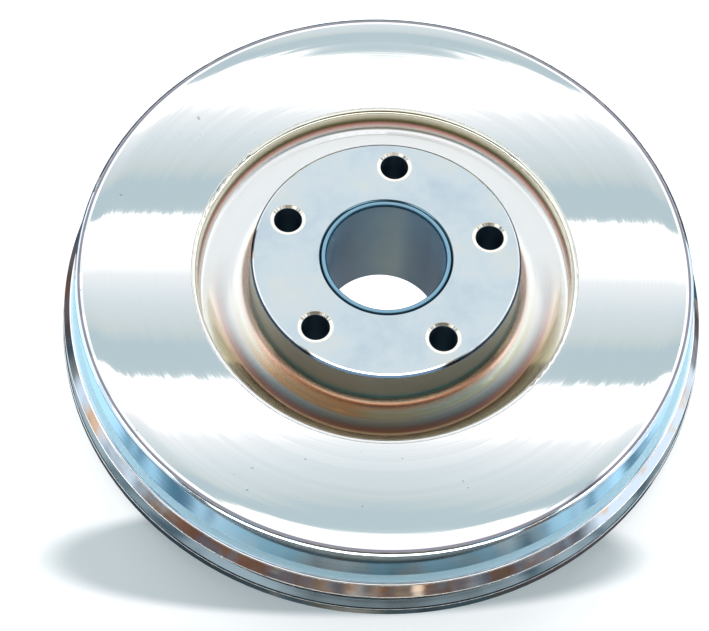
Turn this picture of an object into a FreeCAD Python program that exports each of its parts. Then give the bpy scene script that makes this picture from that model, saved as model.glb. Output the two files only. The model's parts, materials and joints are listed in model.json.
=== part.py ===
import FreeCAD, Part
import math
import os

# A belt pulley with a viscous torsional damper inside, for the crankshaft of a supercharged engine.
# Sizes are in millimetres. Z is the shaft's axis and runs towards the front. Z = 0 is the hub's rear face.

# Driving sizes
hub_length = 45.0
hub_radius = 43.0
bore_radius = 19.0
sleeve_wall = 2.0
face_drop = 7.75            # the broad front face lies this far behind the hub's front face
face_edge_radius = 96.5
rim_depth = 33.25           # from the broad face to the rim's rear face
outer_radius = 105.0
bolt_circle_radius = 34.0
bolt_hole_radius = 4.5
flare_width = 1.1           # each bolt hole widens by this much at its mouths
flare_depth = 0.5
bolt_count = 5
bolt_start_angle = 84.2     # degrees from +X
groove_half_angle = 19.0    # lean of the belt groove's flanks, in degrees
pad_count = 6
screw_count = 10

# Heights of the main faces
cover_thickness = 4.5
back_wall = 6.0
face_z = hub_length - face_drop
rim_rear_z = face_z - rim_depth
seat_z = face_z - cover_thickness
chamber_floor_z = rim_rear_z + back_wall
recess_floor_z = face_z - 8.95
web_rear_z = recess_floor_z - 11.5

# Radii of the hub, the recess round it and the damper's chamber
sleeve_radius = bore_radius + sleeve_wall
recess_low_radius = 51.0
recess_wall_radius = 59.9
lip_start_radius = 60.3
lip_radius = 62.0
rear_pocket_radius = 60.0
chamber_inner_radius = 67.0
chamber_outer_radius = 80.0

# The rim: belt groove, rib, small groove and rear land
groove_floor_radius = 91.0
front_lip_radius = 99.2
rib_front_radius = 101.6
rib_front_z = face_z - 16.9
rib_rear_radius = 104.4
rib_rear_z = face_z - 21.8
rear_land_z = face_z - 29.2
small_groove_radius = 100.9

# Clearances
press_gap = 0.02
seat_gap = 0.05
running_gap = 0.08
pad_running_gap = 0.1
fluid_gap = 0.45

# The inertia ring, its bearing and its thrust pads
ring_rear_z = chamber_floor_z + fluid_gap
ring_front_z = seat_z - fluid_gap
ring_lip_radius = chamber_inner_radius + 0.6
ring_bore_radius = chamber_inner_radius + 1.6
ring_outer_radius = chamber_outer_radius - 0.5
bearing_rear_z = ring_rear_z + 2.0
bearing_front_z = ring_front_z - 2.0
bearing_split = 2.0
pad_radius = 4.45
pad_pocket_depth = 2.6
pad_circle_radius = (ring_bore_radius + ring_outer_radius) / 2

# Seals, screws and fill plugs
seal_cord_radius = 0.68
seal_groove_width = 2.2
seal_groove_depth = 1.4
outer_seal_radius = 82.6
inner_seal_radius = 64.5
screw_circle_radius = 87.0
screw_radius = 2.0
screw_head_radius = 3.5
screw_seat_z = rim_rear_z + 4.3
screw_head_z = rim_rear_z + 0.3
screw_tip_z = face_z - 1.35
plug_circle_radius = (chamber_inner_radius + chamber_outer_radius) / 2
plug_radius = 4.0
plug_flange_radius = 6.5
plug_seat_z = rim_rear_z + 2.5
plug_seal_thickness = 1.0


def on_circle(radius, degrees, height=0.0):
    angle = math.radians(degrees)
    return FreeCAD.Vector(radius * math.cos(angle), radius * math.sin(angle), height)


def spread(count, start=0.0):
    """Angles in degrees of places spaced evenly round the axis."""
    return [start + 360.0 * step / count for step in range(count)]


def turned(*corners):
    """A solid of revolution. Each corner is its radius, its height and, where it is rounded, its rounding."""
    points = [FreeCAD.Vector(corner[0], 0, corner[1]) for corner in corners]
    arcs = []
    starts = []
    ends = []
    for index, corner in enumerate(corners):
        here = points[index]
        if len(corner) == 2:
            starts.append(here)
            ends.append(here)
            continue
        rounding = corner[2]
        back = (points[index - 1] - here).normalize()
        onward = (points[(index + 1) % len(points)] - here).normalize()
        half_angle = back.getAngle(onward) / 2
        reach = rounding / math.tan(half_angle)
        inward = (back + onward).normalize() * (rounding / math.sin(half_angle) - rounding)
        starts.append(here + back * reach)
        ends.append(here + onward * reach)
        arcs.append(Part.Arc(starts[-1], here + inward, ends[-1]).toShape())
    lines = []
    for index, end in enumerate(ends):
        next_start = starts[(index + 1) % len(starts)]
        if end.distanceToPoint(next_start) > 1e-6:
            lines.append(Part.makeLine(end, next_start))
    wire = Part.Wire(Part.__sortEdges__(lines + arcs))
    return Part.Face(wire).revolve(FreeCAD.Vector(0, 0, 0), FreeCAD.Vector(0, 0, 1), 360)


def cylinder(radius, low_z, high_z, place=FreeCAD.Vector(0, 0, 0)):
    base = FreeCAD.Vector(place.x, place.y, low_z)
    return Part.makeCylinder(radius, high_z - low_z, base)


def hex_prism(across_flats, low_z, high_z, place):
    corner_radius = across_flats / math.sqrt(3)
    centre = FreeCAD.Vector(place.x, place.y, low_z)
    corners = [centre + on_circle(corner_radius, angle) for angle in spread(6)]
    face = Part.Face(Part.makePolygon(corners + corners[:1]))
    return face.extrude(FreeCAD.Vector(0, 0, high_z - low_z))


def flank_run(outer, inner):
    """How far along the axis a belt groove's flank runs between two radii."""
    return (outer - inner) * math.tan(math.radians(groove_half_angle))


def bolt_hole(place):
    """A bolt hole through the hub, with a small flare at each mouth."""
    wide = bolt_hole_radius + flare_width
    axis = FreeCAD.Vector(0, 0, 1)
    rear_mouth = Part.makeCone(wide, bolt_hole_radius, flare_depth, place, axis)
    front_base = place + FreeCAD.Vector(0, 0, hub_length - flare_depth)
    front_mouth = Part.makeCone(bolt_hole_radius, wide, flare_depth, front_base, axis)
    return cylinder(bolt_hole_radius, 0, hub_length, place).fuse([rear_mouth, front_mouth])


def seal_groove(radius):
    half_width = seal_groove_width / 2
    bottom = seat_z - seal_groove_depth
    return turned((radius - half_width, bottom), (radius + half_width, bottom),
                  (radius + half_width, seat_z), (radius - half_width, seat_z))


def screw_hole(place):
    shank_hole = cylinder(screw_radius + 0.15, rim_rear_z, seat_z, place)
    head_hole = cylinder(screw_head_radius + 0.15, rim_rear_z, screw_seat_z, place)
    return shank_hole.fuse(head_hole)


def plug_hole(place):
    thread = cylinder(plug_radius, rim_rear_z, chamber_floor_z, place)
    spot_face = cylinder(plug_flange_radius + 0.5, rim_rear_z, plug_seat_z, place)
    return thread.fuse(spot_face)


def damper_housing():
    """The hub, the web and the annular chamber, turned from one billet."""
    body = turned(
        (sleeve_radius, 0),
        (hub_radius, 0, 0.8),
        (hub_radius, web_rear_z, 4.0),
        (rear_pocket_radius, web_rear_z, 4.0),
        (rear_pocket_radius, rim_rear_z, 1.0),
        (groove_floor_radius, rim_rear_z),
        (groove_floor_radius, seat_z),
        (chamber_outer_radius, seat_z),
        (chamber_outer_radius, chamber_floor_z, 0.4),
        (chamber_inner_radius, chamber_floor_z, 0.4),
        (chamber_inner_radius, seat_z),
        (lip_radius, seat_z),
        (lip_radius, face_z, 0.15),
        (lip_start_radius, face_z, 1.6),
        (recess_wall_radius, recess_floor_z + 0.9, 3.2),
        (recess_low_radius, recess_floor_z, 12.0),
        (hub_radius + 0.4, recess_floor_z + 0.3, 6.0),
        (hub_radius, hub_length - 1.0),
        (hub_radius - 1.0, hub_length),
        (sleeve_radius + 0.3, hub_length),
        (sleeve_radius, hub_length - 0.3),
    )
    cuts = [bolt_hole(on_circle(bolt_circle_radius, angle)) for angle in spread(bolt_count, bolt_start_angle)]
    cuts += [screw_hole(on_circle(screw_circle_radius, angle)) for angle in spread(screw_count)]
    cuts += [plug_hole(on_circle(plug_circle_radius, angle)) for angle in spread(2, 90)]
    cuts += [seal_groove(outer_seal_radius), seal_groove(inner_seal_radius)]
    return body.cut(cuts)


def front_cover():
    """The polished plate that closes the chamber. Its rim is the front flange of the belt groove."""
    flange_rear_z = seat_z + flank_run(front_lip_radius, groove_floor_radius)
    plate = turned(
        (lip_radius + seat_gap, seat_z),
        (groove_floor_radius, seat_z),
        (front_lip_radius, flange_rear_z, 0.3),
        (front_lip_radius, face_z - 1.0, 0.3),
        (face_edge_radius + 1.7, face_z - 0.25, 0.3),
        (face_edge_radius, face_z),
        (lip_radius + seat_gap, face_z, 0.15),
    )
    tapped_holes = [cylinder(screw_radius, seat_z, screw_tip_z + 0.15, on_circle(screw_circle_radius, angle))
                    for angle in spread(screw_count)]
    return plate.cut(tapped_holes)


def belt_flange():
    """The ring pressed on behind the belt groove, with the rib, a small groove and the rear land."""
    inner_radius = groove_floor_radius + press_gap
    groove_front_run = flank_run(rib_rear_radius, small_groove_radius)
    groove_rear_run = flank_run(outer_radius, small_groove_radius)
    return turned(
        (inner_radius, rim_rear_z),
        (outer_radius, rim_rear_z, 0.8),
        (outer_radius, rear_land_z, 0.5),
        (small_groove_radius, rear_land_z + groove_rear_run, 0.5),
        (small_groove_radius, rib_rear_z - groove_front_run, 0.5),
        (rib_rear_radius, rib_rear_z, 0.6),
        (rib_front_radius, rib_front_z, 0.8),
        (inner_radius, rib_front_z + flank_run(rib_front_radius, inner_radius)),
    )


def hub_sleeve():
    """The hard sleeve pressed into the hub's bore."""
    outer = sleeve_radius - press_gap
    nose = 0.9
    return turned((bore_radius, 0, nose), (outer, 0), (outer, hub_length, nose), (bore_radius, hub_length, nose))


def inertia_ring():
    ring = turned(
        (ring_lip_radius, ring_rear_z, 0.3),
        (ring_outer_radius, ring_rear_z, 0.5),
        (ring_outer_radius, ring_front_z, 0.5),
        (ring_lip_radius, ring_front_z, 0.3),
        (ring_lip_radius, bearing_front_z),
        (ring_bore_radius, bearing_front_z),
        (ring_bore_radius, bearing_rear_z),
        (ring_lip_radius, bearing_rear_z),
    )
    pockets = []
    for angle in spread(pad_count):
        place = on_circle(pad_circle_radius, angle)
        wide = pad_radius + seat_gap
        pockets.append(cylinder(wide, ring_rear_z, ring_rear_z + pad_pocket_depth, place))
        pockets.append(cylinder(wide, ring_front_z - pad_pocket_depth, ring_front_z, place))
    return ring.cut(pockets)


def ring_bearing():
    """The split bearing band that sits in the ring's bore and runs on the chamber's inner wall."""
    inner = chamber_inner_radius + running_gap
    outer = ring_bore_radius - seat_gap
    low = bearing_rear_z + 0.1
    high = bearing_front_z - 0.1
    band = turned((inner, low), (outer, low), (outer, high), (inner, high))
    split_corner = FreeCAD.Vector(inner - 1, -bearing_split / 2, low)
    split = Part.makeBox(outer - inner + 2, bearing_split, high - low, split_corner)
    return band.cut(split)


def thrust_pad(angle, low_z, high_z):
    return cylinder(pad_radius, low_z, high_z, on_circle(pad_circle_radius, angle))


def seal(radius):
    centre = FreeCAD.Vector(0, 0, seat_z - seal_groove_depth / 2)
    return Part.makeTorus(radius, seal_cord_radius, centre)


def cover_screw(place):
    head = cylinder(screw_head_radius, screw_head_z, screw_seat_z, place)
    shank = cylinder(screw_radius - seat_gap, screw_seat_z, screw_tip_z, place)
    socket = hex_prism(3.0, screw_head_z, screw_head_z + 2.0, place)
    return head.fuse(shank).cut(socket)


def fill_plug(place):
    flange_top = plug_seat_z - plug_seal_thickness
    flange = cylinder(plug_flange_radius, rim_rear_z, flange_top, place)
    stem = cylinder(plug_radius - seat_gap, flange_top, chamber_floor_z - 0.3, place)
    socket = hex_prism(4.0, rim_rear_z, rim_rear_z + 2.5, place)
    return flange.fuse(stem).cut(socket)


def plug_seal(place):
    low = plug_seat_z - plug_seal_thickness
    washer = cylinder(plug_flange_radius - 0.1, low, plug_seat_z, place)
    return washer.cut(cylinder(plug_radius + 0.2, low, plug_seat_z, place))


def all_parts():
    shapes = {
        "damper_housing": damper_housing(),
        "front_cover": front_cover(),
        "belt_flange": belt_flange(),
        "hub_sleeve": hub_sleeve(),
        "inertia_ring": inertia_ring(),
        "ring_bearing": ring_bearing(),
        "outer_seal": seal(outer_seal_radius),
        "inner_seal": seal(inner_seal_radius),
    }
    rear_pad_z = chamber_floor_z + pad_running_gap
    front_pad_z = seat_z - pad_running_gap
    for number, angle in enumerate(spread(pad_count), 1):
        shapes["rear_pad_%d" % number] = thrust_pad(angle, rear_pad_z, ring_rear_z + pad_pocket_depth)
        shapes["front_pad_%d" % number] = thrust_pad(angle, ring_front_z - pad_pocket_depth, front_pad_z)
    for number, angle in enumerate(spread(2, 90), 1):
        place = on_circle(plug_circle_radius, angle)
        shapes["fill_plug_%d" % number] = fill_plug(place)
        shapes["plug_seal_%d" % number] = plug_seal(place)
    screws = [cover_screw(on_circle(screw_circle_radius, angle)) for angle in spread(screw_count)]
    shapes["cover_screws"] = Part.makeCompound(screws)
    return shapes


os.makedirs("parts", exist_ok=True)
for node, shape in all_parts().items():
    shape.exportStep("parts/%s.step" % node)
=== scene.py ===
import json
import math

import bpy
from mathutils import Matrix, Vector


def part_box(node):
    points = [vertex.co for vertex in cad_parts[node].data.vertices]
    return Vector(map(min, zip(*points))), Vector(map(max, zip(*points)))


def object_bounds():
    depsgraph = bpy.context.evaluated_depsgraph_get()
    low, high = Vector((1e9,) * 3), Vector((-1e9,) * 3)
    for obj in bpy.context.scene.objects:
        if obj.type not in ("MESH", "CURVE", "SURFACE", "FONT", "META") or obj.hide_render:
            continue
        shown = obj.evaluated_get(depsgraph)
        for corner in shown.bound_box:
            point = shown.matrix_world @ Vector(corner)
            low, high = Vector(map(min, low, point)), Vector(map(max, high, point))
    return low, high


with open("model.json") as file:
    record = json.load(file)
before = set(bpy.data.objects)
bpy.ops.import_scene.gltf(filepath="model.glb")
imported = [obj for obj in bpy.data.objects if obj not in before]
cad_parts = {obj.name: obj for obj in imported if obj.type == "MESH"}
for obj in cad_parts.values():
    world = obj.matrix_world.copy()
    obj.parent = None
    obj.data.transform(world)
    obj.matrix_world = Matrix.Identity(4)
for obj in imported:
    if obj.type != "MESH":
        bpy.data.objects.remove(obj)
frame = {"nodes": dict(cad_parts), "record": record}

# A polished belt pulley with a torsional damper inside, lying on its rear face on a pale studio floor.
# Every size is in metres, in the frame of the CAD model. Z is the shaft's axis and runs up, towards the
# pulley's front. The camera stands on the side of negative Y, and "near" and "far" are as it sees them.

cad_low, cad_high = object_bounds()
scene = bpy.context.scene
mounts = {mount["name"]: mount for mount in frame["record"]["mounts"]}

MILLI = 0.001

# Sizes read from the frame
HUB_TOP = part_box("damper_housing")[1].z
FACE_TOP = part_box("front_cover")[1].z
COVER_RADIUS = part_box("front_cover")[1].x
OUTER_RADIUS = cad_high.x
SLEEVE_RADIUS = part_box("hub_sleeve")[1].x
BOLT_CIRCLE = mounts["hub_bolts"]["dims"]["pcd_mm"] / 2000
BOLT_HOLE = mounts["hub_bolts"]["dims"]["hole_r_mm"] / 1000
BOLT_COUNT = mounts["hub_bolts"]["dims"]["count"]
FIRST_BOLT = math.radians(84.2)

# Sizes of the part that the frame has no box for
HUB_RADIUS = BOLT_CIRCLE + 9.0 * MILLI
RECESS_WIDTH = 17.5 * MILLI
RECESS_DEPTH = 9.0 * MILLI
RIB_FRONT_Z = FACE_TOP - 16.9 * MILLI
RIB_REAR_Z = FACE_TOP - 21.8 * MILLI
REAR_LAND_Z = FACE_TOP - 29.2 * MILLI
RIB_FRONT_RADIUS = OUTER_RADIUS - 3.4 * MILLI
RIB_REAR_RADIUS = OUTER_RADIUS - 0.6 * MILLI

# Camera
CAMERA_AZIMUTH = math.radians(-4.17)
CAMERA_ELEVATION = math.radians(60.83)
CAMERA_ROLL = math.radians(3.65)
CAMERA_DISTANCE = 0.7236
CAMERA_AIM = Vector((-0.01015, -0.0171, FACE_TOP))
CAMERA_LENS = 116.2

# Grey bars on the ceiling, by the tangent of the angle from the line along which the front face mirrors the
# camera
FIRST_BAR = 0.1152
BAR_PITCH = math.tan(math.radians(4.075))
BAR_SLANT = 0.019

# The room in front, by turns round the X axis: 0 is level behind, 0.25 overhead and 0.5 level in front
CEILING_ENDS = 0.215
CEILING_WHITE = (1.2, 1.22, 1.25)
OVERHEAD_WHITE = (1.15, 1.17, 1.20)
SIDE_WHITE = (0.95, 1.0, 1.04)
STRIP_LIGHT = (4.0, 3.9, 3.7)

# Small warm lamps: the way to each, half its angle in radians, and its colour
LAMPS = (
    ((0.10, -0.95, 0.36), 0.03, (1.6, 1.1, 0.7)),
    ((-0.35, -0.85, 0.30), 0.03, (1.6, 1.1, 0.7)),
    ((0.17, -0.95, -0.13), 0.018, (1.3, 0.9, 0.6)),
    ((-0.45, -0.85, -0.11), 0.018, (1.3, 0.9, 0.6)),
)

# Floor
FLOOR_SIZE = 20.0
LIT_RADIUS = 60.0 * MILLI
SHADOW_MIDDLE = (-0.13 * OUTER_RADIUS, -0.80 * OUTER_RADIUS)
SHADOW_HALF_SIZE = (0.87 * OUTER_RADIUS, 0.18 * OUTER_RADIUS)

# The usual width of the fine rings that turning and polishing leave
RING_WIDTH = 0.8 * MILLI


# ---------------------------------------------------------------- shader nodes
class Graph:
    """A short way to add shader nodes to a tree and to join them up."""

    def __init__(self, tree):
        self.tree = tree
        tree.nodes.clear()

    def add(self, kind, **settings):
        node = self.tree.nodes.new(kind)
        for name, value in settings.items():
            setattr(node, name, value)
        return node

    def plug(self, socket, value):
        if isinstance(value, bpy.types.NodeSocket):
            self.tree.links.new(value, socket)
        elif socket.type == "RGBA":
            socket.default_value = (*value, 1)
        else:
            socket.default_value = value

    def math(self, operation, *values):
        node = self.add("ShaderNodeMath", operation=operation)
        for socket, value in zip(node.inputs, values):
            self.plug(socket, value)
        return node.outputs[0]

    def vector(self, operation, *values):
        node = self.add("ShaderNodeVectorMath", operation=operation)
        for socket, value in zip(node.inputs, values):
            self.plug(socket, value)
        return node.outputs["Value" if operation in ("DOT_PRODUCT", "LENGTH") else "Vector"]

    def scaled(self, vector, amount):
        node = self.add("ShaderNodeVectorMath", operation="SCALE")
        self.plug(node.inputs["Vector"], vector)
        self.plug(node.inputs["Scale"], amount)
        return node.outputs["Vector"]

    def step(self, value, low, high):
        """0 below low, 1 above high, smooth in between. High may be the lower of the two."""
        node = self.add("ShaderNodeMapRange", interpolation_type="SMOOTHSTEP")
        flipped = low > high
        self.plug(node.inputs["Value"], value)
        self.plug(node.inputs["From Min"], min(low, high))
        self.plug(node.inputs["From Max"], max(low, high))
        self.plug(node.inputs["To Min"], 1.0 if flipped else 0.0)
        self.plug(node.inputs["To Max"], 0.0 if flipped else 1.0)
        return node.outputs["Result"]

    def band(self, value, low, high, soft):
        """1 between low and high, 0 outside, over soft edges."""
        above = self.step(value, low - soft, low)
        below = self.step(value, high + soft, high)
        return self.math("MULTIPLY", above, below)

    def blend(self, share, low, high):
        """A number between two numbers."""
        node = self.add("ShaderNodeMix", data_type="FLOAT")
        self.plug(node.inputs[0], share)
        self.plug(node.inputs[2], low)
        self.plug(node.inputs[3], high)
        return node.outputs[0]

    def mix(self, share, first, second, blend_type="MIX"):
        """A colour between two colours."""
        node = self.add("ShaderNodeMix", data_type="RGBA", blend_type=blend_type)
        self.plug(node.inputs[0], share)
        self.plug(node.inputs[6], first)
        self.plug(node.inputs[7], second)
        return node.outputs[2]

    def ramp(self, value, *stops):
        """A colour ramp. Each stop is a place from 0 to 1 and a colour."""
        node = self.add("ShaderNodeValToRGB")
        elements = node.color_ramp.elements
        while len(elements) < len(stops):
            elements.new(1.0)
        for element, (place, colour) in zip(elements, stops):
            element.position = place
            element.color = (*colour, 1)
        self.plug(node.inputs[0], value)
        return node.outputs[0]

    def noise(self, place, scale, detail=2.0, roughness=0.5):
        """Noise from 0 to 1 at a point, or along one number."""
        flat = place.type == "VALUE"
        node = self.add("ShaderNodeTexNoise", noise_dimensions="1D" if flat else "3D")
        self.plug(node.inputs["W" if flat else "Vector"], place)
        self.plug(node.inputs["Scale"], scale)
        self.plug(node.inputs["Detail"], detail)
        self.plug(node.inputs["Roughness"], roughness)
        return node.outputs[0]

    def vector_parts(self, vector):
        node = self.add("ShaderNodeSeparateXYZ")
        self.plug(node.inputs[0], vector)
        return node.outputs

    def join(self, x, y, z):
        node = self.add("ShaderNodeCombineXYZ")
        for socket, value in zip(node.inputs, (x, y, z)):
            self.plug(socket, value)
        return node.outputs[0]


# ---------------------------------------------------------------- camera
def camera_axes():
    """The camera's right, up and back directions."""
    flat = math.cos(CAMERA_ELEVATION)
    across, along = math.sin(CAMERA_AZIMUTH) * flat, -math.cos(CAMERA_AZIMUTH) * flat
    back = Vector((across, along, math.sin(CAMERA_ELEVATION)))
    turned = back.to_track_quat("Z", "Y").to_matrix() @ Matrix.Rotation(CAMERA_ROLL, 3, "Z")
    return turned.col[0], turned.col[1], turned.col[2]


def make_camera():
    data = bpy.data.cameras.new("camera")
    data.sensor_width = 36.0
    data.lens = CAMERA_LENS
    data.clip_start = 0.01
    data.clip_end = 20.0
    camera = bpy.data.objects.new("camera", data)
    scene.collection.objects.link(camera)
    right, up, back = camera_axes()
    camera.matrix_world = Matrix((right, up, back)).transposed().to_4x4()
    camera.location = CAMERA_AIM + back * CAMERA_DISTANCE
    scene.camera = camera


# ---------------------------------------------------------------- studio
def ceiling(g, direction):
    """A white ceiling. Grey bars cross the part of it that the front face shows to the camera."""
    right, up, back = camera_axes()
    mirrored_up = (up.x, up.y, -up.z)
    mirrored_view = (-back.x, -back.y, back.z)
    ahead = g.vector("DOT_PRODUCT", direction, mirrored_view)
    rise = g.vector("DOT_PRODUCT", direction, mirrored_up)
    across = g.vector("DOT_PRODUCT", direction, tuple(right))
    slope = g.math("DIVIDE", rise, g.math("MAXIMUM", ahead, 0.1))
    slope = g.math("ADD", slope, g.math("MULTIPLY", across, BAR_SLANT))
    # Bars are counted downwards. Adding whole bars keeps the count above zero
    bars = g.math("DIVIDE", g.math("SUBTRACT", FIRST_BAR, slope), BAR_PITCH)
    share = g.math("FRACT", g.math("ADD", bars, 20.0))
    bar_colour = g.ramp(
        share,
        (0.0, (1.35, 1.35, 1.35)),
        (0.30, (1.25, 1.25, 1.25)),
        (0.38, (0.92, 0.95, 0.97)),
        (0.55, (0.72, 0.80, 0.84)),
        (0.72, (0.62, 0.70, 0.71)),
        (0.80, (0.50, 0.62, 0.67)),
        (0.97, (0.50, 0.62, 0.66)),
        (1.0, (0.60, 0.70, 0.72)),
    )
    return g.mix(g.step(ahead, 0.90, 0.97), CEILING_WHITE, bar_colour)


def room_by_height(g, turn):
    """The room's colour by turns: white overhead, dim and a little warm in front, dark and blue below."""
    return g.ramp(
        turn,
        (CEILING_ENDS, OVERHEAD_WHITE),
        (0.283, OVERHEAD_WHITE),
        (0.300, (0.18, 0.18, 0.17)),
        (0.32, (0.18, 0.165, 0.12)),
        (0.39, (0.18, 0.15, 0.11)),
        (0.41, (0.24, 0.18, 0.13)),
        (0.435, (0.24, 0.18, 0.13)),
        (0.455, (0.17, 0.16, 0.15)),
        (0.47, (0.12, 0.11, 0.10)),
        (0.50, (0.09, 0.08, 0.09)),
        (0.525, (0.14, 0.14, 0.15)),
        (0.56, (0.26, 0.28, 0.30)),
        (0.60, (0.16, 0.19, 0.21)),
        (0.68, (0.17, 0.22, 0.24)),
        (0.72, (0.07, 0.10, 0.12)),
        (0.80, (0.06, 0.10, 0.13)),
        (0.93, (0.05, 0.10, 0.13)),
        (0.985, (0.10, 0.16, 0.19)),
        (1.0, (0.8, 0.9, 0.95)),
    )


def front_room(g, direction, turn):
    """The room in front: uneven, with warm patches, thin lines, white sides and a strip light."""
    x, y, z = g.vector_parts(direction)
    streaks = g.math("SUBTRACT", g.noise(g.vector("MULTIPLY", direction, (7.0, 2.0, 3.0)), 2.0, 3.0), 0.5)
    room = room_by_height(g, g.math("ADD", turn, g.math("MULTIPLY", streaks, 0.03)))
    uneven = g.math("MAXIMUM", g.math("ADD", 1.0, g.math("MULTIPLY", streaks, 1.6)), 0.3)
    room = g.scaled(room, g.blend(g.step(turn, 0.28, 0.31), 1.0, uneven))

    low_in_front = g.step(turn, 0.43, 0.46)
    level_in_front = g.step(turn, 0.475, 0.495)
    warmth = g.noise(g.vector("MULTIPLY", direction, (4.0, 1.0, 5.0)), 2.5, 2.0)
    warm_share = g.math("MULTIPLY", g.step(warmth, 0.45, 0.6), level_in_front)
    room = g.mix(warm_share, room, g.vector("MULTIPLY", room, (1.9, 1.15, 0.65)))

    lines = g.noise(g.vector("MULTIPLY", direction, (5.0, 1.0, 55.0)), 1.0, 2.0)
    lit_lines = g.math("MULTIPLY", g.step(lines, 0.60, 0.68), level_in_front)
    room = g.mix(lit_lines, room, (0.62, 0.50, 0.40))
    dark_lines = g.math("MULTIPLY", g.step(lines, 0.42, 0.34), low_in_front)
    room = g.mix(dark_lines, room, (0.03, 0.04, 0.05))

    # Towards the sides the room is tinted, and then white
    ragged = g.math("MULTIPLY", streaks, 0.3)
    sideways = g.math("ADD", g.math("ABSOLUTE", x), ragged)
    halfway = g.band(sideways, 0.38, 0.76, 0.12)
    tint = g.mix(low_in_front, (0.16, 0.24, 0.29), (0.15, 0.115, 0.12))
    room = g.mix(g.math("MULTIPLY", halfway, g.step(warmth, 0.40, 0.60)), room, tint)
    both_sides = g.blend(low_in_front, g.step(sideways, 0.70, 0.90), g.step(sideways, 0.82, 0.98))
    right_side = g.step(g.math("ADD", x, ragged), 0.74, 0.88)
    room = g.mix(g.math("MAXIMUM", both_sides, right_side), room, SIDE_WHITE)

    # A long strip light at one height, right round the front
    strip = g.math("MULTIPLY", g.band(z, 0.41, 0.50, 0.02), g.step(y, 0.15, -0.05))
    return g.mix(strip, room, STRIP_LIGHT)


def make_surroundings():
    """The world. Metal reflects the ceiling and the room in front, and all else gets plain dim light."""
    world = bpy.data.worlds.new("studio")
    scene.world = world
    world.use_nodes = True
    g = Graph(world.node_tree)
    direction = g.vector("NORMALIZE", g.add("ShaderNodeTexCoord").outputs["Generated"])
    _, y, z = g.vector_parts(direction)
    turn = g.math("DIVIDE", g.math("ARCTAN2", z, y), 2 * math.pi)
    turn = g.math("FRACT", g.math("ADD", turn, 1.0))

    in_front = g.step(turn, CEILING_ENDS - 0.001, CEILING_ENDS + 0.001)
    seen_in_metal = g.mix(in_front, ceiling(g, direction), front_room(g, direction, turn))
    for place, half_angle, colour in LAMPS:
        closeness = g.vector("DOT_PRODUCT", direction, tuple(Vector(place).normalized()))
        lit = g.step(closeness, math.cos(half_angle * 2), math.cos(half_angle))
        seen_in_metal = g.mix(lit, seen_in_metal, colour)

    metal_view = g.add("ShaderNodeBackground")
    g.plug(metal_view.inputs["Color"], seen_in_metal)
    g.plug(metal_view.inputs["Strength"], 1.0)
    plain_view = g.add("ShaderNodeBackground")
    g.plug(plain_view.inputs["Color"], (1.0, 1.0, 1.0))
    g.plug(plain_view.inputs["Strength"], 0.20)
    chosen = g.add("ShaderNodeMixShader")
    g.plug(chosen.inputs[0], g.add("ShaderNodeLightPath").outputs["Is Glossy Ray"])
    g.plug(chosen.inputs[1], plain_view.outputs[0])
    g.plug(chosen.inputs[2], metal_view.outputs[0])
    output = g.add("ShaderNodeOutputWorld")
    g.plug(output.inputs["Surface"], chosen.outputs[0])


def make_floor():
    """A pale floor that glows a little. It glows more under the hub, so the bore looks through to white."""
    bpy.ops.mesh.primitive_plane_add(size=FLOOR_SIZE)
    floor = bpy.context.object
    floor.name = "floor"
    floor.visible_glossy = False
    material = bpy.data.materials.new("pale_floor")
    material.use_nodes = True
    g = Graph(material.node_tree)
    place = g.add("ShaderNodeTexCoord").outputs["Object"]
    x, y, _ = g.vector_parts(place)
    radius = g.math("SQRT", g.math("ADD", g.math("MULTIPLY", x, x), g.math("MULTIPLY", y, y)))
    under_hub = g.step(radius, LIT_RADIUS + 15.0 * MILLI, LIT_RADIUS)
    glow = g.mix(under_hub, (0.72, 0.76, 0.78), (1.3, 1.3, 1.3))
    # A painted soft shadow, in the floor's glow and colour, that spreads to both sides in front of the
    # pulley
    shadow_x = g.math("DIVIDE", g.math("SUBTRACT", x, SHADOW_MIDDLE[0]), SHADOW_HALF_SIZE[0])
    shadow_y = g.math("DIVIDE", g.math("SUBTRACT", y, SHADOW_MIDDLE[1]), SHADOW_HALF_SIZE[1])
    shadow = g.step(g.vector("LENGTH", g.join(shadow_x, shadow_y, 0.0)), 1.12, 0.92)
    glow = g.mix(shadow, glow, (0.31, 0.36, 0.38))
    paint = g.mix(shadow, (0.8, 0.8, 0.8), (0.60, 0.66, 0.68))
    shader = g.add("ShaderNodeBsdfPrincipled")
    g.plug(shader.inputs["Base Color"], paint)
    g.plug(shader.inputs["Roughness"], 0.9)
    g.plug(shader.inputs["Specular IOR Level"], 0.1)
    g.plug(shader.inputs["Emission Color"], glow)
    g.plug(shader.inputs["Emission Strength"], 1.0)
    # Seen from below the floor is clear, so it doesn't hide the pulley's rear
    clear_below = g.add("ShaderNodeMixShader")
    g.plug(clear_below.inputs[0], g.add("ShaderNodeNewGeometry").outputs["Backfacing"])
    g.plug(clear_below.inputs[1], shader.outputs[0])
    g.plug(clear_below.inputs[2], g.add("ShaderNodeBsdfTransparent").outputs[0])
    output = g.add("ShaderNodeOutputMaterial")
    g.plug(output.inputs["Surface"], clear_below.outputs[0])
    floor.data.materials.append(material)


def soft_light(name, azimuth, elevation, size, power):
    """A square light aimed at the pulley from a metre away. It isn't seen in the metal."""
    data = bpy.data.lights.new(name, "AREA")
    data.size = size
    data.energy = power
    light = bpy.data.objects.new(name, data)
    a, e = math.radians(azimuth), math.radians(elevation)
    away = Vector((math.sin(a) * math.cos(e), -math.cos(a) * math.cos(e), math.sin(e)))
    light.location = away * 1.0
    light.rotation_mode = "QUATERNION"
    light.rotation_quaternion = away.to_track_quat("Z", "Y")
    light.visible_glossy = False
    scene.collection.objects.link(light)


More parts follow.
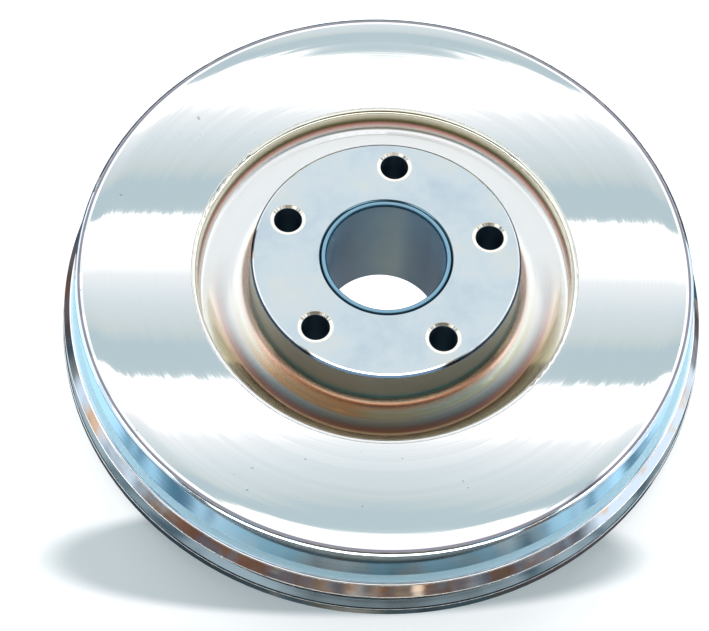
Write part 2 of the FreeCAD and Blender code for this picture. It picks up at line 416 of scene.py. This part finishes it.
# ---------------------------------------------------------------- metal
def round_axis(g):
    """The place on the part, its radius and the outward and onward directions round the shaft's axis."""
    place = g.add("ShaderNodeTexCoord").outputs["Object"]
    x, y, z = g.vector_parts(place)
    flat = g.join(x, y, 0.0)
    radius = g.vector("LENGTH", flat)
    outward = g.vector("NORMALIZE", flat)
    onward = g.vector("CROSS_PRODUCT", (0.0, 0.0, 1.0), outward)
    return place, radius, z, outward, onward


def to_world(g, vector):
    """A direction on the part, as a direction in the world. The two differ when a body has turned."""
    node = g.add("ShaderNodeVectorTransform", vector_type="VECTOR")
    node.convert_from = "OBJECT"
    node.convert_to = "WORLD"
    g.plug(node.inputs[0], vector)
    return node.outputs[0]


def lathe_normal(g, run, outward, onward, across_lean, along_lean, ring_width, shaping=None):
    """The surface's normal, leaned a little, ring by ring, as fine turning and polishing leave it.
    A shaping vector leans it further."""
    coarse = g.math("SUBTRACT", g.noise(run, 0.25 / ring_width, 2.0), 0.5)
    fine = g.math("SUBTRACT", g.noise(run, 1.0 / ring_width, 3.0), 0.5)
    twist = g.math("SUBTRACT", g.noise(g.math("ADD", run, 7.0), 1.3 / ring_width, 3.0), 0.5)
    across = g.math("MULTIPLY", g.math("ADD", coarse, g.math("MULTIPLY", fine, 0.5)), across_lean)
    along = g.math("MULTIPLY", twist, along_lean)
    lean = g.vector("ADD", g.scaled(outward, across), g.scaled(onward, along))
    if shaping is not None:
        lean = g.vector("ADD", lean, shaping)
    surface = g.add("ShaderNodeNewGeometry").outputs["Normal"]
    return g.vector("NORMALIZE", g.vector("ADD", surface, to_world(g, lean)))


def finish_surface(g, colour, roughness, normal, metallic=1.0, anisotropic=0.0):
    """The shader. Where it is anisotropic, highlights stretch across the turning rings."""
    shader = g.add("ShaderNodeBsdfPrincipled")
    g.plug(shader.inputs["Base Color"], colour)
    g.plug(shader.inputs["Roughness"], roughness)
    g.plug(shader.inputs["Metallic"], metallic)
    g.plug(shader.inputs["Anisotropic"], anisotropic)
    if anisotropic:
        tangent = g.add("ShaderNodeTangent", direction_type="RADIAL", axis="Z")
        g.plug(shader.inputs["Anisotropic Rotation"], 0.25)
        g.plug(shader.inputs["Tangent"], tangent.outputs[0])
    g.plug(shader.inputs["Normal"], normal)
    output = g.add("ShaderNodeOutputMaterial")
    g.plug(output.inputs["Surface"], shader.outputs[0])


def new_material(name):
    material = bpy.data.materials.new(name)
    material.use_nodes = True
    return material, Graph(material.node_tree)


def polished_steel():
    """The front cover: mirror-polished steel with faint turning rings, rolled off slightly at its edge."""
    material, g = new_material("polished_steel")
    place, radius, z, outward, onward = round_axis(g)
    run = g.math("ADD", radius, z)
    near_edge = g.step(radius, COVER_RADIUS - 9.0 * MILLI, COVER_RADIUS - 3.0 * MILLI)
    low_on_edge = g.band(z, FACE_TOP - 1.2 * MILLI, FACE_TOP - 0.62 * MILLI, 0.05 * MILLI)
    roll = g.math("ADD", g.math("MULTIPLY", near_edge, 0.010), g.math("MULTIPLY", low_on_edge, 0.13))
    shaping = g.scaled(outward, roll)
    normal = lathe_normal(g, run, outward, onward, 0.004, 0.0012, RING_WIDTH, shaping)

    roughness = g.blend(g.noise(place, 35.0, 4.0), 0.012, 0.03)
    tone = g.mix(g.noise(place, 18.0, 3.0), (0.90, 0.92, 0.93), (0.95, 0.95, 0.95))
    specks = g.step(g.noise(place, 420.0, 2.0), 0.74, 0.80)
    tone = g.mix(specks, tone, (0.55, 0.60, 0.62))
    # Painted reflections: a blue tint on the edge and a dark band on the bevel.
    on_rim = g.step(z, FACE_TOP - 0.2 * MILLI, FACE_TOP - 0.35 * MILLI)
    tone = g.mix(on_rim, tone, (0.70, 0.85, 0.98))
    on_bevel = g.band(radius, COVER_RADIUS - 1.8 * MILLI, COVER_RADIUS - 1.1 * MILLI, 0.1 * MILLI)
    tone = g.mix(on_bevel, tone, (0.26, 0.25, 0.29))
    finish_surface(g, tone, roughness, normal, anisotropic=0.8)
    return material


def thin_ring(g, radius, z, radii, heights):
    """A mask that is 1 between two radii and between two heights."""
    soft = 0.1 * MILLI
    return g.math("MULTIPLY", g.band(radius, *radii, soft), g.band(z, *heights, soft))


def rim_corner_lines(g, radius, z):
    """Fine bright lines along the corners of the rib and of the rear land."""
    rib_front = thin_ring(g, radius, z,
                          (RIB_FRONT_RADIUS - 0.25 * MILLI, RIB_FRONT_RADIUS + 0.25 * MILLI),
                          (RIB_FRONT_Z - 0.8 * MILLI, FACE_TOP))
    rib_rear = thin_ring(g, radius, z,
                         (RIB_REAR_RADIUS - 0.35 * MILLI, RIB_REAR_RADIUS - 0.05 * MILLI),
                         (RIB_REAR_Z - 0.4 * MILLI, RIB_REAR_Z + 0.8 * MILLI))
    rear_land = thin_ring(g, radius, z,
                          (OUTER_RADIUS - 0.65 * MILLI, OUTER_RADIUS - 0.20 * MILLI),
                          (REAR_LAND_Z - 0.6 * MILLI, REAR_LAND_Z + 0.6 * MILLI))
    return g.math("MAXIMUM", rib_front, g.math("MAXIMUM", rib_rear, rear_land))


def flange_steel():
    """The belt flange: polished with a faint blue cast, and duller on a band of the groove's flank, where a
    pale blue is painted in as a reflection.
    """
    material, g = new_material("flange_steel")
    place, radius, z, outward, onward = round_axis(g)
    run = g.math("ADD", radius, z)
    on_flank = g.step(z, RIB_FRONT_Z, RIB_FRONT_Z + 0.3 * MILLI)
    sheen_band_radii = g.band(radius, COVER_RADIUS + 0.1 * MILLI, COVER_RADIUS + 1.4 * MILLI, 0.5 * MILLI)
    dull_sheen_band = g.math("MULTIPLY", on_flank, sheen_band_radii)
    deep = g.step(radius, COVER_RADIUS - 3.7 * MILLI, COVER_RADIUS - 5.2 * MILLI)
    deep = g.math("MULTIPLY", on_flank, deep)
    bright_lines = rim_corner_lines(g, radius, z)

    # Lean the dull sheen band up, and the bright lines up and inwards, so they catch the light overhead
    line_lean = g.vector("ADD", g.scaled(outward, -0.5), (0.0, 0.0, 0.35))
    shaping = g.vector("ADD", g.scaled((0.0, 0.0, 0.40), dull_sheen_band), g.scaled(line_lean, bright_lines))
    normal = lathe_normal(g, run, outward, onward, 0.04, 0.006, RING_WIDTH, shaping)

    roughness = g.blend(g.noise(place, 35.0, 4.0), 0.04, 0.10)
    roughness = g.blend(dull_sheen_band, roughness, 0.45)
    roughness = g.blend(deep, roughness, 0.40)

    # Painted reflections: the groove's flank is painted dark teal, bluer towards the sides, and paler deep
    # down and on the dull band
    x = g.vector_parts(place)[0]
    toward_side = g.step(g.math("DIVIDE", g.math("ABSOLUTE", x), radius), 0.35, 0.75)
    patches = g.step(g.noise(place, 45.0, 2.0), 0.42, 0.58)
    groove_tone = g.mix(patches, (0.16, 0.30, 0.38), (0.26, 0.33, 0.36))
    groove_tone = g.mix(toward_side, groove_tone, (0.42, 0.72, 0.92))
    tone = g.mix(g.noise(place, 30.0, 3.0), (0.66, 0.80, 0.95), (0.82, 0.90, 0.98))
    tone = g.mix(on_flank, tone, groove_tone)
    tone = g.mix(deep, tone, (0.80, 0.95, 1.0))
    # Painted dark reflection: darker behind the rib.
    behind_rib = g.step(z, RIB_REAR_Z - 0.1 * MILLI, RIB_REAR_Z - 0.5 * MILLI)
    tone = g.mix(behind_rib, tone, (0.27, 0.35, 0.39))
    # The dull band's pale blue is a painted reflection.
    tone = g.mix(dull_sheen_band, tone, (0.52, 0.78, 0.90))

    # Warm brown patches on the rib.
    on_rib = g.band(z, RIB_REAR_Z + 0.2 * MILLI, RIB_FRONT_Z - 0.3 * MILLI, 0.1 * MILLI)
    warm_patches = g.math("MULTIPLY", on_rib, g.step(g.noise(place, 75.0, 3.0), 0.48, 0.64))
    tone = g.mix(warm_patches, tone, (0.85, 0.58, 0.40))
    # Painted highlights: the bright lines are coloured white.
    tone = g.mix(bright_lines, tone, (1.0, 1.0, 1.0))
    finish_surface(g, tone, roughness, normal)
    return material


def bolt_hole_distance(g, place, radius):
    """How far a place is from the nearest bolt hole's middle, by folding every hole onto the first."""
    x, y, _ = g.vector_parts(place)
    sector = 2 * math.pi / BOLT_COUNT
    angle = g.math("SUBTRACT", g.math("ARCTAN2", y, x), FIRST_BOLT - sector / 2)
    folded = g.math("SUBTRACT", g.math("FLOORED_MODULO", angle, sector), sector / 2)
    off_x = g.math("SUBTRACT", g.math("MULTIPLY", radius, g.math("COSINE", folded)), BOLT_CIRCLE)
    off_y = g.math("MULTIPLY", radius, g.math("SINE", folded))
    return g.vector("LENGTH", g.join(off_x, off_y, 0.0))


def recess_masks(g, place, radius, z):
    """Where the recess round the hub is, and its near and far sides."""
    outside_hub = g.step(radius, HUB_RADIUS + 0.1 * MILLI, HUB_RADIUS + 0.6 * MILLI)
    below_face = g.step(z, FACE_TOP - 1.5 * MILLI, FACE_TOP - 3.0 * MILLI)
    in_recess = g.math("MULTIPLY", outside_hub, below_face)
    y = g.vector_parts(place)[1]
    near_side = g.step(y, 0.015, -0.04)
    near = g.math("MULTIPLY", in_recess, near_side)
    far = g.math("MULTIPLY", in_recess, g.step(y, -0.02, 0.02))
    # The far side's steep outer wall
    on_wall = g.step(radius, HUB_RADIUS + 16.2 * MILLI, HUB_RADIUS + 16.8 * MILLI)
    far_wall = g.math("MULTIPLY", on_wall, g.math("SUBTRACT", 1.0, near_side))
    return in_recess, near, far, far_wall


def recess_lean(g, radius, near, far):
    """How far the recess's normals lean outward: all over its near side, but only at its far side's edge.

    The leans are large, up to 48 degrees, and they differ from side to side. They shape only what the metal
    reflects. The CAD surface stays as it is, a plain turned recess."""
    near_floor = g.step(radius, HUB_RADIUS + 3.0 * MILLI, HUB_RADIUS + 6.0 * MILLI)
    near_foot = g.step(radius, HUB_RADIUS + 11.0 * MILLI, HUB_RADIUS + 13.5 * MILLI)
    far_edge = g.step(radius, HUB_RADIUS + 13.5 * MILLI, HUB_RADIUS + 15.5 * MILLI)
    near_lean = g.math("ADD", g.math("MULTIPLY", near_floor, 0.62), g.math("MULTIPLY", near_foot, 0.50))
    far_lean = g.math("SUBTRACT", g.math("MULTIPLY", far_edge, 0.25), 0.03)
    return g.math("ADD", g.math("MULTIPLY", near, near_lean), g.math("MULTIPLY", far, far_lean))


def near_stains_and_reflections(g, place, radius, near):
    """Tints for the recess's near side, ring by ring outward, and an orange streak.

    They stand for stains, and they are painted reflections of things that this studio doesn't hold; the
    orange streak is a painted highlight."""
    film = g.ramp(
        g.math("DIVIDE", g.math("SUBTRACT", radius, HUB_RADIUS), RECESS_WIDTH),
        (0.04, (0.13, 0.29, 0.30)),
        (0.08, (0.79, 0.59, 0.43)),
        (0.12, (0.24, 0.11, 0.065)),
        (0.145, (0.24, 0.11, 0.065)),
        (0.18, (0.81, 0.57, 0.43)),
        (0.25, (0.82, 0.86, 0.74)),
        (0.31, (0.71, 0.70, 0.50)),
        (0.40, (0.62, 0.61, 0.58)),
        (0.46, (0.42, 0.46, 0.44)),
        (0.54, (0.30, 0.22, 0.21)),
        (0.62, (0.38, 0.17, 0.11)),
        (0.70, (0.85, 0.62, 0.40)),
        (0.80, (1.0, 0.95, 0.80)),
    )
    x = g.vector_parts(place)[0]
    leftward = g.band(g.math("DIVIDE", x, radius), -0.72, -0.30, 0.25)
    streak_ring = g.band(radius, HUB_RADIUS + 3.4 * MILLI, HUB_RADIUS + 6.0 * MILLI, 1.2 * MILLI)
    streak = g.math("MULTIPLY", near, g.math("MULTIPLY", leftward, streak_ring))
    return g.mix(g.math("MULTIPLY", streak, 0.7), film, (1.0, 0.46, 0.17))


def far_wall_reflections(g, z):
    """Painted reflections on the far wall of the recess, as tints by depth below the front face."""
    return g.ramp(
        g.math("DIVIDE", g.math("SUBTRACT", FACE_TOP, z), RECESS_DEPTH),
        (0.05, (0.92, 0.90, 0.80)),
        (0.25, (0.88, 0.76, 0.60)),
        (0.42, (0.27, 0.25, 0.14)),
        (0.52, (0.17, 0.125, 0.054)),
        (0.64, (0.67, 0.33, 0.29)),
        (0.76, (0.94, 0.63, 0.60)),
        (0.95, (1.0, 1.0, 1.0)),
    )


def housing_steel():
    """The housing: a satin hub face, bolt holes darkened as painted shade, a turned hub wall and a polished
    recess with stains and painted reflections.
    """
    material, g = new_material("housing_steel")
    place, radius, z, outward, onward = round_axis(g)
    run = g.math("ADD", radius, z)
    on_hub_face = g.step(z, HUB_TOP - 0.08 * MILLI, HUB_TOP - 0.02 * MILLI)
    at_hub_edge = g.band(radius, HUB_RADIUS - 0.9 * MILLI, HUB_RADIUS + 0.6 * MILLI, 0.3 * MILLI)
    below_edge = g.step(z, HUB_TOP - 1.0 * MILLI, HUB_TOP - 1.1 * MILLI)
    hub_wall = g.math("MULTIPLY", at_hub_edge, below_edge)
    edge_line = g.band(z, HUB_TOP - 1.05 * MILLI, HUB_TOP - 0.42 * MILLI, 0.06 * MILLI)
    hub_outline = g.math("MULTIPLY", at_hub_edge, edge_line)
    by_sleeve = g.step(radius, SLEEVE_RADIUS + 0.5 * MILLI, SLEEVE_RADIUS + 0.35 * MILLI)
    off_hole = bolt_hole_distance(g, place, radius)
    in_hole = g.step(off_hole, BOLT_HOLE + 0.15 * MILLI, BOLT_HOLE + 0.05 * MILLI)
    in_flare = g.band(off_hole, BOLT_HOLE + 0.1 * MILLI, BOLT_HOLE + 1.1 * MILLI, 0.1 * MILLI)
    in_recess, near, far, far_wall = recess_masks(g, place, radius, z)

    shaping = g.scaled(outward, recess_lean(g, radius, near, far))
    normal = lathe_normal(g, run, outward, onward, 0.004, 0.0012, RING_WIDTH, shaping)

    satin_tone = g.ramp(
        g.noise(place, 60.0, 5.0, 0.6),
        (0.3, (0.58, 0.68, 0.76)),
        (0.5, (0.69, 0.77, 0.82)),
        (0.7, (0.76, 0.79, 0.78)),
    )
    mirror_tone = g.mix(g.noise(place, 18.0, 3.0), (0.90, 0.90, 0.90), (0.95, 0.94, 0.93))
    tone = g.mix(on_hub_face, mirror_tone, satin_tone)
    tone = g.mix(hub_wall, tone, (0.60, 0.62, 0.56))
    # Painted dark reflection: a thin dark line along the hub's edge.
    tone = g.mix(hub_outline, tone, (0.04, 0.07, 0.11))
    tone = g.mix(by_sleeve, tone, (0.06, 0.12, 0.16))
    # Painted warm reflection on the flare round each bolt hole.
    tone = g.mix(in_flare, tone, (1.0, 0.93, 0.80))
    # Painted reflections in the recess, with stains on its near side.
    tone = g.mix(far_wall, tone, far_wall_reflections(g, z))
    tone = g.mix(near, tone, near_stains_and_reflections(g, place, radius, near))
    # Painted shade: the bolt holes' walls are darker.
    tone = g.mix(in_hole, tone, (0.30, 0.42, 0.50))

    satin_roughness = g.blend(g.noise(place, 900.0, 3.0), 0.26, 0.38)
    roughness = g.blend(on_hub_face, 0.05, satin_roughness)
    roughness = g.blend(in_recess, roughness, 0.27)
    roughness = g.blend(hub_wall, roughness, 0.55)
    roughness = g.blend(in_hole, roughness, 0.4)
    finish_surface(g, tone, roughness, normal)
    return material


def sleeve_steel():
    """The sleeve in the hub: satin, blue-grey, with a rounded nose whose two edges are painted dark as
    shade.
    """
    material, g = new_material("sleeve_steel")
    place, radius, z, outward, onward = round_axis(g)
    run = g.math("ADD", radius, z)
    normal = lathe_normal(g, run, outward, onward, 0.02, 0.01, 0.5 * MILLI)
    tone = g.mix(g.noise(place, 80.0, 4.0), (0.52, 0.76, 0.95), (0.70, 0.90, 1.0))
    # Painted shade: the nose is dark along both of its edges.
    on_nose = g.step(z, HUB_TOP - 1.0 * MILLI, HUB_TOP - 0.8 * MILLI)
    inner, outer = SLEEVE_RADIUS - 1.45 * MILLI, SLEEVE_RADIUS - 0.60 * MILLI
    nose_middle = g.band(radius, inner, outer, 0.15 * MILLI)
    nose_tone = g.mix(nose_middle, (0.03, 0.09, 0.14), (0.26, 0.46, 0.60))
    tone = g.mix(on_nose, tone, nose_tone)
    roughness = g.blend(g.noise(place, 400.0, 3.0), 0.33, 0.45)
    finish_surface(g, tone, roughness, normal)
    return material


def plain_finish(name, dark, light, rough_low, rough_high, metallic, grain):
    """A finish with fine mottling, for the small pieces behind and inside."""
    material, g = new_material(name)
    place = g.add("ShaderNodeTexCoord").outputs["Object"]
    mottling = g.noise(place, grain, 4.0, 0.6)
    bump = g.add("ShaderNodeBump")
    g.plug(bump.inputs["Strength"], 0.15)
    g.plug(bump.inputs["Distance"], 0.05 * MILLI)
    g.plug(bump.inputs["Height"], mottling)
    tone = g.mix(mottling, dark, light)
    roughness = g.blend(mottling, rough_low, rough_high)
    finish_surface(g, tone, roughness, bump.outputs[0], metallic=metallic)
    return material


def dress(material, *names):
    for name in names:
        node = frame["nodes"][name]
        node.data.materials.clear()
        node.data.materials.append(material)


def dress_all():
    dress(housing_steel(), "damper_housing")
    dress(polished_steel(), "front_cover")
    dress(flange_steel(), "belt_flange")
    dress(sleeve_steel(), "hub_sleeve")
    iron = plain_finish("ring_iron", (0.22, 0.22, 0.23), (0.36, 0.36, 0.36), 0.35, 0.5, 1.0, 500.0)
    dress(iron, "inertia_ring")
    bronze = plain_finish("bearing", (0.42, 0.33, 0.22), (0.55, 0.45, 0.32), 0.4, 0.55, 0.0, 900.0)
    dress(bronze, "ring_bearing")
    plastic = plain_finish("pad_plastic", (0.80, 0.77, 0.70), (0.88, 0.86, 0.80), 0.4, 0.5, 0.0, 900.0)
    for number in range(1, 7):
        dress(plastic, "front_pad_%d" % number, "rear_pad_%d" % number)
    rubber = plain_finish("seal_rubber", (0.015, 0.015, 0.016), (0.03, 0.03, 0.03), 0.5, 0.7, 0.0, 1500.0)
    dress(rubber, "outer_seal", "inner_seal")
    oxide = plain_finish("black_oxide", (0.04, 0.04, 0.045), (0.10, 0.10, 0.11), 0.3, 0.45, 1.0, 900.0)
    dress(oxide, "cover_screws")
    plate = plain_finish("plated_plug", (0.45, 0.44, 0.40), (0.62, 0.60, 0.55), 0.25, 0.4, 1.0, 700.0)
    dress(plate, "fill_plug_1", "fill_plug_2")
    copper = plain_finish("copper", (0.62, 0.33, 0.20), (0.78, 0.46, 0.30), 0.3, 0.45, 1.0, 900.0)
    dress(copper, "plug_seal_1", "plug_seal_2")


make_camera()
make_surroundings()
make_floor()
soft_light("back_right", 150, 42, 0.5, 4.0)
soft_light("back_left", 215, 45, 0.6, 3.0)
dress_all()
scene.view_settings.view_transform = "Standard"
